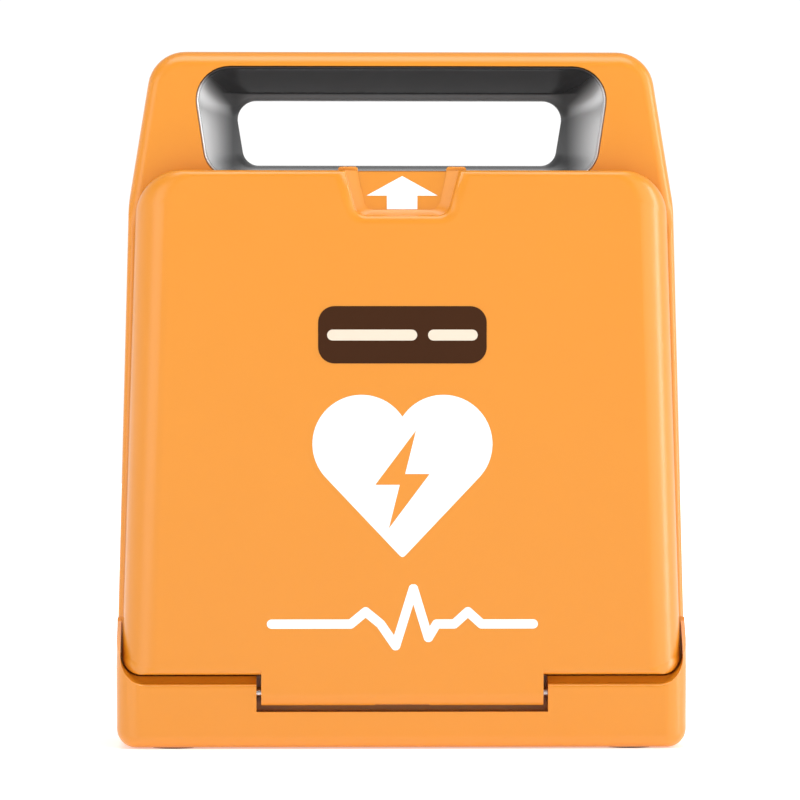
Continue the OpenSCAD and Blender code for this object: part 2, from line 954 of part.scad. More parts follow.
rear_housing();
front_housing();
handle_trim_front();
handle_trim_rear();
case_gasket();
case_screws();
base_feet();
back_feet();
hinge_pins();
control_panel();
panel_overlay();
panel_screws();
shock_button();
shock_button_ring();
shock_button_spring();
language_button();
language_button_spring();
mode_switch();
status_lens();
remote_window();
pads_socket();
pads_pouch();
speaker();
main_board();
board_parts();
board_screws();
lid_sensor();
battery_case();
battery_cover();
battery_cells();
battery_latch();
battery_latch_spring();
battery_contacts();
battery_harness();
lid_shell();
lid_liner();
lid_seal();
lid_screws();
lid_magnet();
latch_slider();
latch_carrier();
latch_springs();
latch_arrow();
label_plate();
heart_symbol();
pulse_mark();
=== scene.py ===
import math
import random
import bpy
import bmesh
from mathutils import Matrix, Vector, noise


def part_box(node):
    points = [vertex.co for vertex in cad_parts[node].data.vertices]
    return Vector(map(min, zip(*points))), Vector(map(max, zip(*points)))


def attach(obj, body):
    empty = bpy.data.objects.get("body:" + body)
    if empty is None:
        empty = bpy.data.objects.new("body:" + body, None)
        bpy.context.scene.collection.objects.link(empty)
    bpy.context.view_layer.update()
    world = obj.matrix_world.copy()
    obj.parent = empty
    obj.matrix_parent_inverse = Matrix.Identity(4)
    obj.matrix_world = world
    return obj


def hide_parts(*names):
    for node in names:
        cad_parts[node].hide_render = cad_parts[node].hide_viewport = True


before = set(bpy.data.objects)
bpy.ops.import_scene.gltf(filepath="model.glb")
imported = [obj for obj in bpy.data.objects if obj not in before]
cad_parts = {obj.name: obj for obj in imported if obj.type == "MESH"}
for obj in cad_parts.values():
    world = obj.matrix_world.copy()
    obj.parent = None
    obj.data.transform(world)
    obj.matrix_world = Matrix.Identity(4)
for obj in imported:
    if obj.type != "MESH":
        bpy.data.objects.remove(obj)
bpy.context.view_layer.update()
MM = 0.001


def node_box(node):
    """Lowest and highest corner of a CAD node, in millimetres."""
    low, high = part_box(node)
    return Vector(low) / MM, Vector(high) / MM


CASE_LOW, CASE_HIGH = node_box("front_housing")
LID_LOW, LID_HIGH = node_box("lid_shell")
BACK_Y = node_box("rear_housing")[1].y
PART_Y = node_box("rear_housing")[0].y
CASE_HALF = CASE_HIGH.x
CASE_TOP = CASE_HIGH.z
CASE_BOTTOM = CASE_LOW.z
LEDGE_Y = CASE_LOW.y
LID_Y = LID_LOW.y
LID_TOP = LID_HIGH.z
LID_RIM_Y = LID_HIGH.y
TAB_BOTTOM = LID_LOW.z
HINGE_LOW, HINGE_HIGH = node_box("hinge_pins")
HINGE_Y = (HINGE_LOW.y + HINGE_HIGH.y) / 2
HINGE_Z = (HINGE_LOW.z + HINGE_HIGH.z) / 2
FACE_Y = node_box("control_panel")[0].y
FLOOR_Y = node_box("latch_slider")[0].y
TAB_HALF = 51.75
TAB_GAP = 1.75
LID_BOTTOM = 27.4
LID_GAP = 0.8
LEDGE_TOP = 24.0
GRIP_HALF = 61.2
GRIP_Z0, GRIP_Z1 = 215.8, 240.0
BEND_Z = 192.0
BACK_LEAN = 0.2185
SLIDER_BACK_Y = -32.4
BUTTON_BODY = 6.1
SHARP_ANGLE = math.radians(50)
CIRCLE_STEPS = 48
FAR_BACK = 60
FLOOR_GLOW = 0.42
INK_THICK = 0.12


# ---------- outlines, in millimetres, as (x, z) ----------

def both_sides(half):
    return half + [(-x, z, r) for x, z, r in reversed(half)]


def crossing(p, u, q, v):
    """Where the line through p along u meets the line through q along v."""
    det = u.x * v.y - u.y * v.x
    if abs(det) < 1e-9:
        return (p + q) / 2
    t = ((q.x - p.x) * v.y - (q.y - p.y) * v.x) / det
    return p + u * t


def outline(corners, inset=0.0, steps=10):
    """Points round a closed outline with rounded corners, each side moved in by its own inset.

    Returns the points, and for each point the share of it that belongs to the next side.
    """
    n = len(corners)
    insets = [inset] * n if not hasattr(inset, "__len__") else inset
    at = [Vector((c[0], c[1])) for c in corners]
    way = [(at[(i + 1) % n] - at[i]).normalized() for i in range(n)]
    turn_all = sum(way[i - 1].x * way[i].y - way[i - 1].y * way[i].x for i in range(n))
    hand = 1 if turn_all > 0 else -1
    base = [at[i] + Vector((-way[i].y, way[i].x)) * hand * insets[i] for i in range(n)]
    points, shares = [], []
    for i in range(n):
        before, after = way[i - 1], way[i]
        corner = crossing(base[i - 1], before, base[i], after)
        turn = (before.x * after.y - before.y * after.x) * hand
        pull = (insets[i - 1] + insets[i]) / 2
        radius = max(corners[i][2] - (pull if turn > 0 else -pull), 0.35)
        half = (math.pi - math.acos(max(-1, min(1, before.dot(after))))) / 2
        if abs(math.cos(half)) < 1e-3:
            half = math.pi / 2 - 1e-3
        reach = radius / math.tan(half)
        start, end = corner - before * reach, corner + after * reach
        middle = corner + (after - before).normalized() * radius / math.sin(half)
        a0 = math.atan2(start.y - middle.y, start.x - middle.x)
        a1 = math.atan2(end.y - middle.y, end.x - middle.x)
        sweep = (a1 - a0 + 3 * math.pi) % (2 * math.pi) - math.pi
        for k in range(steps + 1):
            a = a0 + sweep * k / steps
            points.append(middle + radius * Vector((math.cos(a), math.sin(a))))
            shares.append(k / steps)
    return points, shares


CASE = both_sides([
    (CASE_HALF - 0.2, CASE_BOTTOM, 7),
    (CASE_HALF, 30, 40),
    (CASE_HALF - 4.3, 201, 60),
    (CASE_HALF - 13.4, CASE_TOP, 14),
])
LID = both_sides([(103.2, LID_BOTTOM, 7), (97.6, LID_TOP, 17)])
RIM = both_sides([(71.2, 210.4, 11), (77.3, 250.9, 12)])
THROAT = both_sides([(GRIP_HALF - 3.4, GRIP_Z0, 6), (GRIP_HALF + 0.6, GRIP_Z1, 7)])
REAR_RIM = both_sides([(67, 208, 11), (72, 247, 11)])


def blend_corners(a, b, f):
    return [tuple(p + (q - p) * f for p, q in zip(c, d)) for c, d in zip(a, b)]


def rect(x0, x1, z0, z1, r):
    return [(x1, z0, r), (x1, z1, r), (x0, z1, r), (x0, z0, r)]


def rounded_loop(corners, steps):
    """Outline as (x, z) tuples, for print_sheet."""
    return [tuple(p) for p in outline(corners, 0, steps)[0]]


def circle(x, z, radius, steps=CIRCLE_STEPS):
    return [(x + radius * math.cos(a), z + radius * math.sin(a))
            for a in (2 * math.pi * k / steps for k in range(steps))]


# ---------- mesh helpers ----------

def add_object(name, mesh, material=None):
    obj = bpy.data.objects.new(name, mesh)
    bpy.context.scene.collection.objects.link(obj)
    if material:
        mesh.materials.clear()
        mesh.materials.append(material)
    return obj


def from_rings(name, rings, caps=True):
    """Joins rings of points (millimetres) into one skin, with a flat cap at each end if caps is set."""
    bm = bmesh.new()
    rows = [[bm.verts.new(Vector(p) * MM) for p in ring] for ring in rings]
    n = len(rows[0])
    for a, b in zip(rows, rows[1:]):
        for i in range(n):
            j = (i + 1) % n
            bm.faces.new((a[i], a[j], b[j], b[i]))
    if caps:
        bm.faces.new(rows[0])
        bm.faces.new(list(reversed(rows[-1])))
    bmesh.ops.remove_doubles(bm, verts=bm.verts, dist=1e-7)
    bmesh.ops.recalc_face_normals(bm, faces=bm.faces)
    mesh = bpy.data.meshes.new(name)
    bm.to_mesh(mesh)
    bm.free()
    return add_object(name, mesh)


def level_ring(points, y):
    return [(p.x, y, p.y) for p in points]


def slab(name, corners, y0, y1, inset=0.0):
    """Straight prism of an outline between two depths."""
    points = outline(corners, inset)[0]
    return from_rings(name, [level_ring(points, y0), level_ring(points, y1)])


def bar(name, low, high):
    """Straight-sided cutter between two corners."""
    corners = rect(low[0], high[0], low[2], high[2], 0)
    points = [Vector((c[0], c[1])) for c in corners]
    return from_rings(name, [level_ring(points, low[1]), level_ring(points, high[1])])


def rod(name, at, radius, y0, y1, steps=32):
    ring = circle(at[0], at[1], radius, steps)
    return from_rings(name, [[(x, y, z) for x, z in ring] for y in (y0, y1)])


def profile_x(name, path, x0, x1):
    """Prism along X of a closed side view given as (y, z) points."""
    return from_rings(name, [[(x, y, z) for y, z in path] for x in (x0, x1)])


def fillet_rings(corners, y_end, radii, direction, steps, turns=8):
    """Rings that round the edge of a block whose end face lies at y_end.

    direction is -1 when the end face looks to -Y. Each side has its own radius.
    """
    rings = []
    for t in range(turns + 1):
        a = math.pi / 2 * t / turns
        points, shares = outline(corners, [r * (1 - math.cos(a)) for r in radii], steps)
        ring = []
        for k, (p, share) in enumerate(zip(points, shares)):
            side = k // (steps + 1)
            radius = radii[side - 1] * (1 - share) + radii[side] * share
            ring.append((p.x, y_end - direction * radius * (1 - math.sin(a)), p.y))
        rings.append(ring)
    return rings


def soft_block(name, corners, y_front, y_back, front_radii, back_radii=None, steps=10):
    """Block with a rounded front edge and, where back_radii is given, a rounded back edge."""
    if front_radii:
        rings = list(reversed(fillet_rings(corners, y_front, front_radii, -1, steps)))
    else:
        rings = [level_ring(outline(corners, 0, steps)[0], y_front)]
    if back_radii:
        rings += fillet_rings(corners, y_back, back_radii, 1, steps)
    else:
        rings.append(level_ring(outline(corners, 0, steps)[0], y_back))
    return from_rings(name, rings)


def applied(obj):
    """Makes what the modifiers give the object's own mesh."""
    graph = bpy.context.evaluated_depsgraph_get()
    graph.update()
    mesh = bpy.data.meshes.new_from_object(obj.evaluated_get(graph))
    obj.modifiers.clear()
    obj.data = mesh


def combine(obj, other, operation):
    mod = obj.modifiers.new("cut", "BOOLEAN")
    mod.operation = operation
    mod.solver = "EXACT"
    mod.object = other
    applied(obj)
    bpy.data.objects.remove(other)
    return obj


def cut(obj, other):
    return combine(obj, other, "DIFFERENCE")


def add(obj, other):
    return combine(obj, other, "UNION")


def merge_slivers(obj):
    """Merges the slivers that cutting leaves."""
    bm = bmesh.new()
    bm.from_mesh(obj.data)
    bmesh.ops.remove_doubles(bm, verts=bm.verts, dist=0.02 * MM)
    bmesh.ops.dissolve_limit(bm, angle_limit=math.radians(0.4), verts=bm.verts, edges=bm.edges)
    bmesh.ops.dissolve_degenerate(bm, edges=bm.edges, dist=0.01 * MM)
    bm.to_mesh(obj.data)
    bm.free()


def edges(obj, width, segments, limit=38):
    """Breaks the sharp edges, those that turn by more than limit degrees."""
    merge_slivers(obj)
    mod = obj.modifiers.new("edges", "BEVEL")
    mod.width = width * MM
    mod.segments = segments
    mod.limit_method = "ANGLE"
    mod.angle_limit = math.radians(limit)
    mod.miter_outer = "MITER_ARC"
    applied(obj)


def soften(obj, width, segments):
    edges(obj, width, segments)
    even_normals(obj)


def even_normals(obj):
    """Smooth shading that keeps the flat faces flat beside their rounded edges."""
    obj.data.shade_smooth()
    obj.data.set_sharp_from_angle(angle=SHARP_ANGLE)
    mod = obj.modifiers.new("normals", "WEIGHTED_NORMAL")
    mod.keep_sharp = True
    mod.weight = 80


def dress(obj, material, body, slot, *nodes):
    """Gives a finished piece its material and its body, and hides the CAD nodes that it stands for."""
    obj.data.materials.clear()
    obj.data.materials.append(material)
    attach(obj, body)
    if nodes:
        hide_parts(*nodes)


# ---------- materials ----------

def finish(name, base, rough, metal=0.0, grain=1400.0, height=0.03, strength=0.3, tint=0.05, patch=18.0,
           spread=0.06, coat=0.0, coat_rough=0.18, clear=0.0, stretch=(1, 1, 1), glow=None, specular=0.5):
    """Moulded or metal surface: patchy colour, uneven gloss and a fine grain in the normals."""
    mat = bpy.data.materials.new(name)
    mat.use_nodes = True
    nodes, links = mat.node_tree.nodes, mat.node_tree.links
    shader = nodes["Principled BSDF"]
    shader.inputs["Metallic"].default_value = metal
    shader.inputs["Coat Weight"].default_value = coat
    shader.inputs["Coat Roughness"].default_value = coat_rough
    shader.inputs["Transmission Weight"].default_value = clear
    shader.inputs["Specular IOR Level"].default_value = specular
    if glow:
        shader.inputs["Emission Color"].default_value = (*base, 1)
        shader.inputs["Emission Strength"].default_value = glow
    where = nodes.new("ShaderNodeTexCoord")
    scaled = nodes.new("ShaderNodeMapping")
    scaled.inputs["Scale"].default_value = stretch
    links.new(where.outputs["Object"], scaled.inputs["Vector"])

    def clouds(scale, detail):
        tex = nodes.new("ShaderNodeTexNoise")
        tex.inputs["Scale"].default_value = scale
        tex.inputs["Detail"].default_value = detail
        links.new(scaled.outputs["Vector"], tex.inputs["Vector"])
        return tex.outputs["Fac"]

    mix = nodes.new("ShaderNodeMix")
    mix.data_type = "RGBA"
    mix.inputs["A"].default_value = (*[c * (1 - tint) for c in base], 1)
    mix.inputs["B"].default_value = (*[min(1, c * (1 + tint)) for c in base], 1)
    links.new(clouds(patch, 3), mix.inputs["Factor"])
    links.new(mix.outputs["Result"], shader.inputs["Base Color"])

    gloss = nodes.new("ShaderNodeMapRange")
    gloss.inputs["From Min"].default_value = 0.3
    gloss.inputs["From Max"].default_value = 0.7
    gloss.inputs["To Min"].default_value = rough - spread
    gloss.inputs["To Max"].default_value = rough + spread
    links.new(clouds(patch * 5, 4), gloss.inputs["Value"])
    links.new(gloss.outputs["Result"], shader.inputs["Roughness"])

    bump = nodes.new("ShaderNodeBump")
    bump.inputs["Strength"].default_value = strength
    bump.inputs["Distance"].default_value = height * MM
    links.new(clouds(grain, 2), bump.inputs["Height"])
    links.new(bump.outputs["Normal"], shader.inputs["Normal"])
    return mat


ORANGE = finish("orange_plastic", (0.69, 0.243, 0.011), 0.32, tint=0.015, coat=0.3, coat_rough=0.28,
                grain=1500, height=0.02, strength=0.1, spread=0.02)
TRIM_REAR = finish("trim_rear", (0.03, 0.031, 0.033), 0.35, tint=0.1, height=0.02, strength=0.15)
# Pale base of the front trim: it shows only where the bowl's ends and lip are painted light.
PAINTED_LIGHT_TRIM = finish("trim_satin_painted_light", (0.6, 0.61, 0.62), 0.26, metal=0.35, tint=0.03, height=0.01, strength=0.06,
              spread=0.01)
GREY = finish("grey_plastic", (0.5, 0.51, 0.53), 0.5, grain=1100, height=0.04, strength=0.4)
OVERLAY = finish("overlay_film", (0.8, 0.8, 0.78), 0.38, tint=0.02, height=0.01)
INK = finish("overlay_ink", (0.09, 0.1, 0.12), 0.42, tint=0.05, height=0.01)
SHOCK = finish("shock_orange", (0.9, 0.17, 0.02), 0.3, coat=0.4, tint=0.03)
RING = finish("light_ring", (0.85, 0.85, 0.82), 0.25, clear=0.35, tint=0.02)
BLACK = finish("black_plastic", (0.02, 0.021, 0.023), 0.45, grain=1200, height=0.04, strength=0.4)
PACK = finish("battery_black", (0.03, 0.031, 0.034), 0.5, grain=900, height=0.05, strength=0.5)
CELL = finish("cell_wrap", (0.05, 0.17, 0.45), 0.25, coat=0.5, tint=0.04)
LENS = finish("green_lens", (0.05, 0.5, 0.15), 0.15, coat=0.6, glow=0.4)
REMOTE = finish("dark_lens", (0.035, 0.004, 0.01), 0.08, coat=1.0, height=0.004)
FOIL = finish("pouch_foil", (0.62, 0.65, 0.7), 0.28, metal=0.55, grain=260, height=0.25, strength=0.45,
              spread=0.1)
BOARD = finish("solder_mask", (0.01, 0.13, 0.05), 0.3, coat=0.3, grain=700, height=0.05)
BRASS = finish("contact_brass", (0.8, 0.55, 0.2), 0.28, metal=1.0, height=0.02)
RUBBER = finish("seal_rubber", (0.02, 0.02, 0.022), 0.75, grain=900, height=0.06, strength=0.5)
STEEL = finish("plated_steel", (0.62, 0.62, 0.64), 0.3, metal=1.0, stretch=(1, 8, 1), height=0.01)
BROWN = finish("label_film", (0.045, 0.014, 0.003), 0.5, tint=0.08, height=0.012, specular=0.12)
CREAM = finish("label_ink", (0.72, 0.62, 0.5), 0.42, tint=0.03, height=0.01)
WHITE = finish("white_ink", (0.93, 0.93, 0.91), 0.4, tint=0.015, height=0.01, patch=60)


def fade_node(nodes, links, source, start, end, low, high):
    """Smooth step of a value between two limits."""
    fade = nodes.new("ShaderNodeMapRange")
    fade.interpolation_type = "SMOOTHSTEP"
    fade.inputs["From Min"].default_value = start
    fade.inputs["From Max"].default_value = end
    fade.inputs["To Min"].default_value = low
    fade.inputs["To Max"].default_value = high
    links.new(source, fade.inputs["Value"])
    return fade.outputs["Result"]


def paint_bowl_highlights(mat):
    """Painted light on the bowl: its two ends are painted pale, a painted reflection of the side lamps, and a
    fainter painted highlight lies on the lip along the throat's top edge; elsewhere it stays nearly black
    along the top and at the throat.
    """
    nodes, links = mat.node_tree.nodes, mat.node_tree.links
    shader = nodes["Principled BSDF"]
    colour = shader.inputs["Base Color"].links[0].from_socket
    where = nodes.new("ShaderNodeTexCoord")
    split = nodes.new("ShaderNodeSeparateXYZ")
    links.new(where.outputs["Object"], split.inputs["Vector"])

    def math_node(operation, a, b=None):
        node = nodes.new("ShaderNodeMath")
        node.operation = operation
        for socket, value in zip(node.inputs, (a, b)):
            if isinstance(value, (int, float)):
                socket.default_value = value
            elif value is not None:
                links.new(value, socket)
        return node.outputs["Value"]

    # Painted reflection: pale at the two ends, fading back to the dark base towards the top.
    drop = math_node("MINIMUM", math_node("SUBTRACT", (GRIP_Z1 - 2) * MM, split.outputs["Z"]), 0.0)
    reach = math_node("ADD", math_node("ABSOLUTE", split.outputs["X"]), drop)
    ends = fade_node(nodes, links, reach, 0.0595, 0.0735, 0.0, 1.0)
    # Painted highlight: below the lip's top edge the bowl is painted a little paler, most in the middle.
    highlight_low, highlight_high = (GRIP_Z1 + 1.9) * MM, (GRIP_Z1 + 2.7) * MM
    aside = math_node("ABSOLUTE", split.outputs["X"])
    lip = math_node("MULTIPLY", fade_node(nodes, links, split.outputs["Z"], highlight_low, highlight_high, 0.34, 0.0),
                    fade_node(nodes, links, aside, 0.054, 0.062, 1.0, 0.3))
    mix = nodes.new("ShaderNodeMix")
    mix.data_type = "RGBA"
    mix.inputs["A"].default_value = (0.035, 0.036, 0.038, 1)
    links.new(math_node("MAXIMUM", ends, lip), mix.inputs["Factor"])
    links.new(colour, mix.inputs["B"])
    links.new(mix.outputs["Result"], shader.inputs["Base Color"])


# Pale ends and a lip highlight, painted light, on the front trim.
paint_bowl_highlights(PAINTED_LIGHT_TRIM)

CAD_FINISH = {
    "control_panel": GREY, "lid_liner": GREY, "latch_carrier": GREY,
    "case_gasket": RUBBER, "lid_seal": RUBBER, "base_feet": RUBBER, "back_feet": RUBBER,
    "case_screws": STEEL, "panel_screws": STEEL, "board_screws": STEEL, "lid_screws": STEEL,
    "hinge_pins": STEEL, "lid_magnet": STEEL, "shock_button_spring": STEEL,
    "language_button_spring": STEEL, "battery_latch_spring": STEEL, "latch_springs": STEEL,
    "shock_button_ring": RING, "language_button": BLACK, "mode_switch": BLACK, "pads_socket": BLACK,
    "speaker": BLACK, "board_parts": BLACK, "lid_sensor": BLACK, "battery_harness": BLACK,
    "status_lens": LENS, "remote_window": REMOTE, "main_board": BOARD, "battery_contacts": BRASS,
    "battery_case": PACK, "battery_cover": PACK, "battery_cells": CELL, "battery_latch": ORANGE,
    "panel_overlay": OVERLAY, "shock_button": SHOCK, "pads_pouch": FOIL,
}
for node, material in CAD_FINISH.items():
    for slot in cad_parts[node].material_slots:
        slot.material = material


# ---------- housings ----------

def back_face(z):
    """Depth of the back at height z: flat, a soft bend, then leaning forward behind the handle."""
    soft = 9.0
    over = z - BEND_Z
    if over <= -soft:
        return BACK_Y
    if over < soft:
        return BACK_Y - BACK_LEAN * (over + soft) ** 2 / (4 * soft)
    return BACK_Y - BACK_LEAN * over


def lean_back(obj):
    """Bends the rear block so that its back leans forward behind the handle."""
    bm = bmesh.new()
    bm.from_mesh(obj.data)
    for z in (183, 186, 189, 192, 195, 198, 201):
        geometry = list(bm.verts) + list(bm.edges) + list(bm.faces)
        bmesh.ops.bisect_plane(bm, geom=geometry, plane_co=(0, 0, z * MM), plane_no=(0, 0, 1), dist=1e-7)
    for v in bm.verts:
        y, z = v.co.y / MM, v.co.z / MM
        if y > PART_Y:
            v.co.y = (PART_Y + (y - PART_Y) * (back_face(z) - PART_Y) / (BACK_Y - PART_Y)) * MM
    bm.to_mesh(obj.data)
    bm.free()


def rear_housing():
    sides = [9, 9, 9, 8, 9, 9, 9, 6]
    obj = soft_block("rear_housing_skin", CASE, PART_Y, BACK_Y, None, sides)
    lean_back(obj)
    hollow = soft_block("hollow", CASE, PART_Y - 1, BACK_Y - 3, None, [r - 1 for r in sides])
    for v in hollow.data.vertices:
        v.co.x *= 0.972
        v.co.z = (v.co.z - 0.128) * 0.975 + 0.128
    lean_back(hollow)
    cut(hollow, slab("collar", REAR_RIM, PART_Y - 2, FAR_BACK, inset=-4))
    cut(hollow, bar("bay_wall", (-48.4, 9, 33.4), (48.4, BACK_Y + 1, 122.4)))
    cut(obj, hollow)
    cut(obj, slab("grip", REAR_RIM, PART_Y - 2, FAR_BACK, inset=-0.8))
    cut(obj, bar("bay", (-46, 12, 36), (46, FAR_BACK, 120)))
    cut(obj, bar("latch_pocket", (-8.6, 29.6, 119), (8.6, 35.4, 124)))
    for at in screws_at():
        cut(obj, rod("counterbore", at, 3.3, 18.4, FAR_BACK, 28))
    for at in back_feet_at():
        cut(obj, rod("foot_seat", at, 7.2, 36.8, FAR_BACK))
    soften(obj, 0.45, 2)
    dress(obj, ORANGE, "unit", "orange_shell", "rear_housing")


def screws_at():
    return [(s * x, z) for s in (-1, 1) for x, z in ((80, 14), (90.8, 110), (83.6, 243))]


def back_feet_at():
    return [(s * 80, z) for s in (-1, 1) for z in (30, 176)]


def front_housing():
    obj = soft_block("front_housing_skin", CASE, FACE_Y, PART_Y, [2.5, 2.5, 4.5, 6, 4.5, 2.5, 2.5, 4])
    foot = both_sides([(CASE_HALF - 0.2, CASE_BOTTOM, 7), (CASE_HALF, 30, 40), (CASE_HALF - 0.25, 48, 0.5)])
    ledge = soft_block("ledge", foot, LEDGE_Y, FACE_Y + 3, [9, 9, 14, 9, 9, 4.5])
    add(obj, cut(ledge, ear_slope()))
    cut(obj, lid_space())
    hollow = slab("hollow", CASE, FACE_Y + 2.6, PART_Y + 1, inset=2.6)
    cut(hollow, slab("collar", RIM, FACE_Y, PART_Y + 2, inset=-4))
    cut(obj, hollow)
    cut(obj, slab("grip", RIM, FACE_Y - 3, PART_Y + 2, inset=-0.6))
    cut(obj, slab("deck_hole", rect(-83, 83, 34, 190, 10), FACE_Y - 2, FACE_Y + 4))
    cut(obj, bar("catch", (-9, FACE_Y - 2, 199.8), (9, FACE_Y + 4, 206.2)))
    cut(obj, bar("notch", (-TAB_HALF - TAB_GAP, -60, 13.7), (TAB_HALF + TAB_GAP, -26.4, 40)))
    soften(obj, 0.5, 3)
    dress(obj, ORANGE, "unit", "orange_shell", "front_housing")


def ear_slope():
    """What is cut away so that the ledge's ends run back into the case as they rise."""
    side = [(LEDGE_Y + (FACE_Y - LEDGE_Y) * (k / 8) ** 1.2, 26.5 + 20.0 * k / 8) for k in range(9)]
    return profile_x("ear_slope", [(LEDGE_Y - 2, 26.5)] + side + [(FACE_Y, 50), (LEDGE_Y - 2, 50)], -120, 120)


def lid_space():
    """Space for the lid: rolled edge on the ledge, then a hollow slope up to the lid's bottom edge."""
    lip, y1 = 1.4, -32.6

    def ring(y, rise=0.0, inset=0.0):
        corners = both_sides([(103.45, LEDGE_TOP + rise, 9 - rise / 2), (103.3, 70, 0.4)])
        return level_ring(outline(corners, inset, 16)[0], y)

    rings = [ring(LEDGE_Y - 2, inset=-lip - 0.4)]
    for k in range(9):
        a = math.pi / 2 * k / 8
        rings.append(ring(LEDGE_Y + lip * (1 - math.cos(a)), inset=-lip * (1 - math.sin(a))))
    for k in range(1, 9):
        rise = (LID_BOTTOM - LID_GAP - LEDGE_TOP) * (k / 8) ** 1.7
        rings.append(ring(LEDGE_Y + lip + (y1 - LEDGE_Y - lip) * k / 8, rise))
    rings.append(ring(FACE_Y, LID_BOTTOM - LID_GAP - LEDGE_TOP))
    return from_rings("lid_space", rings)


# ---------- handle ----------

def trim_front():
    """Funnel round the hand opening: rolled rim, hollowed side walls, and a small lip along the top."""
    y0, y1 = FACE_Y + 0.4, PART_Y - 4.05

    def ring(y, fx, fz, inset=0.0):
        corners = [(a[0] + (b[0] - a[0]) * fx, a[1] + (b[1] - a[1]) * fz, a[2] + (b[2] - a[2]) * fx)
                   for a, b in zip(RIM, THROAT)]
        return level_ring(outline(corners, inset, 14)[0], y)

    rolled_rim = ((2, -0.5), (0.7, -0.5), (0.2, -0.35), (0, -0.05), (0.12, 0.2), (0.4, 0.35))
    rings = [ring(y0 + behind, 0, 0, inset) for behind, inset in rolled_rim]
    for k in range(1, 21):
        t = k / 20
        lip = max(0, (t - 0.86) / 0.14)
        fz = 0.02 + 0.76 * min(1, t / 0.86) + 0.22 * math.sin(math.pi / 2 * lip)
        rings.append(ring(y0 + 0.4 + (y1 - y0 - 0.4) * t, 0.02 + 0.98 * t ** 1.3, fz))
    obj = from_rings("handle_trim_front_skin", rings, caps=False)
    thicken(obj, 1.2)
    dress(obj, PAINTED_LIGHT_TRIM, "unit", "dark_trim", "handle_trim_front")


def trim_rear():
    """Flare from the throat to the leaning back."""
    rings = []
    start = PART_Y - 3.95
    for k in range(15):
        a = math.pi / 2 * k / 14
        ring = []
        for p in outline(blend_corners(THROAT, REAR_RIM, 1 - math.cos(a)), 0, 14)[0]:
            end = back_face(p.y) - 0.5
            ring.append((p.x, start + (end - start) * math.sin(a), p.y))
        rings.append(ring)
    obj = from_rings("handle_trim_rear_skin", rings, caps=False)
    thicken(obj, 1.4)
    dress(obj, TRIM_REAR, "unit", "dark_trim", "handle_trim_rear")


def thicken(obj, wall):
    """Turns an open skin into a closed shell, growing away from the hand opening."""
    middle = Vector((0, 0, (GRIP_Z0 + GRIP_Z1) / 2 * MM))
    face = obj.data.polygons[len(obj.data.polygons) // 2]
    outward = (face.center - middle).dot(face.normal) > 0
    mod = obj.modifiers.new("wall", "SOLIDIFY")
    mod.thickness = wall * MM
    mod.offset = 1 if outward else -1
    applied(obj)
    obj.data.shade_smooth()
    obj.data.set_sharp_from_angle(angle=SHARP_ANGLE)


# ---------- lid ----------

def lid_shell():
    obj = soft_block("lid_shell_skin", LID, LID_Y, LID_RIM_Y, [13.4, 2.6, 13.4, 2.0], steps=14)
    radius = HINGE_Y - LID_Y
    low = math.asin((HINGE_Z - TAB_BOTTOM) / radius)
    side = [(LID_Y, LID_BOTTOM + 2.6)]
    arc = [(radius * math.cos(low * k / 8), HINGE_Z - radius * math.sin(low * k / 8)) for k in range(9)]
    side += [(HINGE_Y - reach, z) for reach, z in arc]
    side += [(HINGE_Y + reach, z) for reach, z in reversed(arc)]
    side.append((HINGE_Y + radius, LID_BOTTOM + 2.6))
    add(obj, profile_x("tab", side, -TAB_HALF, TAB_HALF))
    hollow = soft_block("hollow", LID, LID_Y + 2.8, LID_RIM_Y + 1, [10.6, 1, 10.6, 1])
    for v in hollow.data.vertices:
        v.co.x *= 0.974
        v.co.z = (v.co.z - 0.12) * 0.972 + 0.12
    cut(hollow, scoop("core", 1.8, LID_Y - 1, FLOOR_Y, 0))
    cut(obj, hollow)
    cut(obj, bar("tab_slit", (-10, -37.4, TAB_BOTTOM - 1), (10, -35.4, TAB_BOTTOM + 1.6)))
    for s in (-1, 1):
        cut(obj, rod_x("pin_hole", s * 40.5, s * 52.5, 1.56))
    edges(obj, 0.4, 3)
    cut(obj, bar("plate_way", (-24, FLOOR_Y - 0.25, 206), (24, -31.6, LID_TOP + 3)))
    cut(obj, scoop("scoop", 0, LID_Y - 0.01, FLOOR_Y + 0.8, 2.4))
    even_normals(obj)
    dress(obj, ORANGE, "lid", "orange_shell", "lid_shell")


def rod_x(name, x0, x1, radius, steps=28):
    ring = [(HINGE_Y + radius * math.cos(a), HINGE_Z + radius * math.sin(a))
            for a in (2 * math.pi * k / steps for k in range(steps))]
    return from_rings(name, [[(x, y, z) for y, z in ring] for x in (x0, x1)])


def scoop(name, grow, y_front, y_end, lip):
    """Bowl of the finger scoop: walls that ease into the floor, and a rounded mouth of radius lip."""
    mouth = both_sides([(18.4 + grow, 194.6 - grow, 5), (25 + grow, LID_TOP + 4, 0.4)])
    floor = both_sides([(13.4 + grow, 198 - grow, 4), (17 + grow, LID_TOP + 4, 0.4)])
    y_floor = FLOOR_Y - 0.2
    depth = y_floor - LID_Y
    rings = []
    if lip:
        rings.append(level_ring(outline(mouth, -lip - 0.5, 12)[0], LID_Y - 1))
    for k in range(9 if lip else 0):
        a = math.pi / 2 * k / 8
        f = lip * math.sin(a) * 0.7 / depth
        rings.append(level_ring(outline(blend_corners(mouth, floor, f), -lip * (1 - math.sin(a)), 12)[0],
                                y_front + lip * 0.7 * (1 - math.cos(a))))
    y_wall = y_front + lip * 0.7
    for k in range(0 if not lip else 1, 13):
        t = k / 12
        f = max(0.85 * t + 0.15 * (1 - math.sqrt(1 - t * t)), lip * 0.7 / depth)
        points = outline(blend_corners(mouth, floor, f), 0, 12)[0]
        rings.append(level_ring(points, y_wall + (y_floor - y_wall) * t))
    rings.append(level_ring(outline(floor, 0, 12)[0], y_end))
    return from_rings(name, rings)


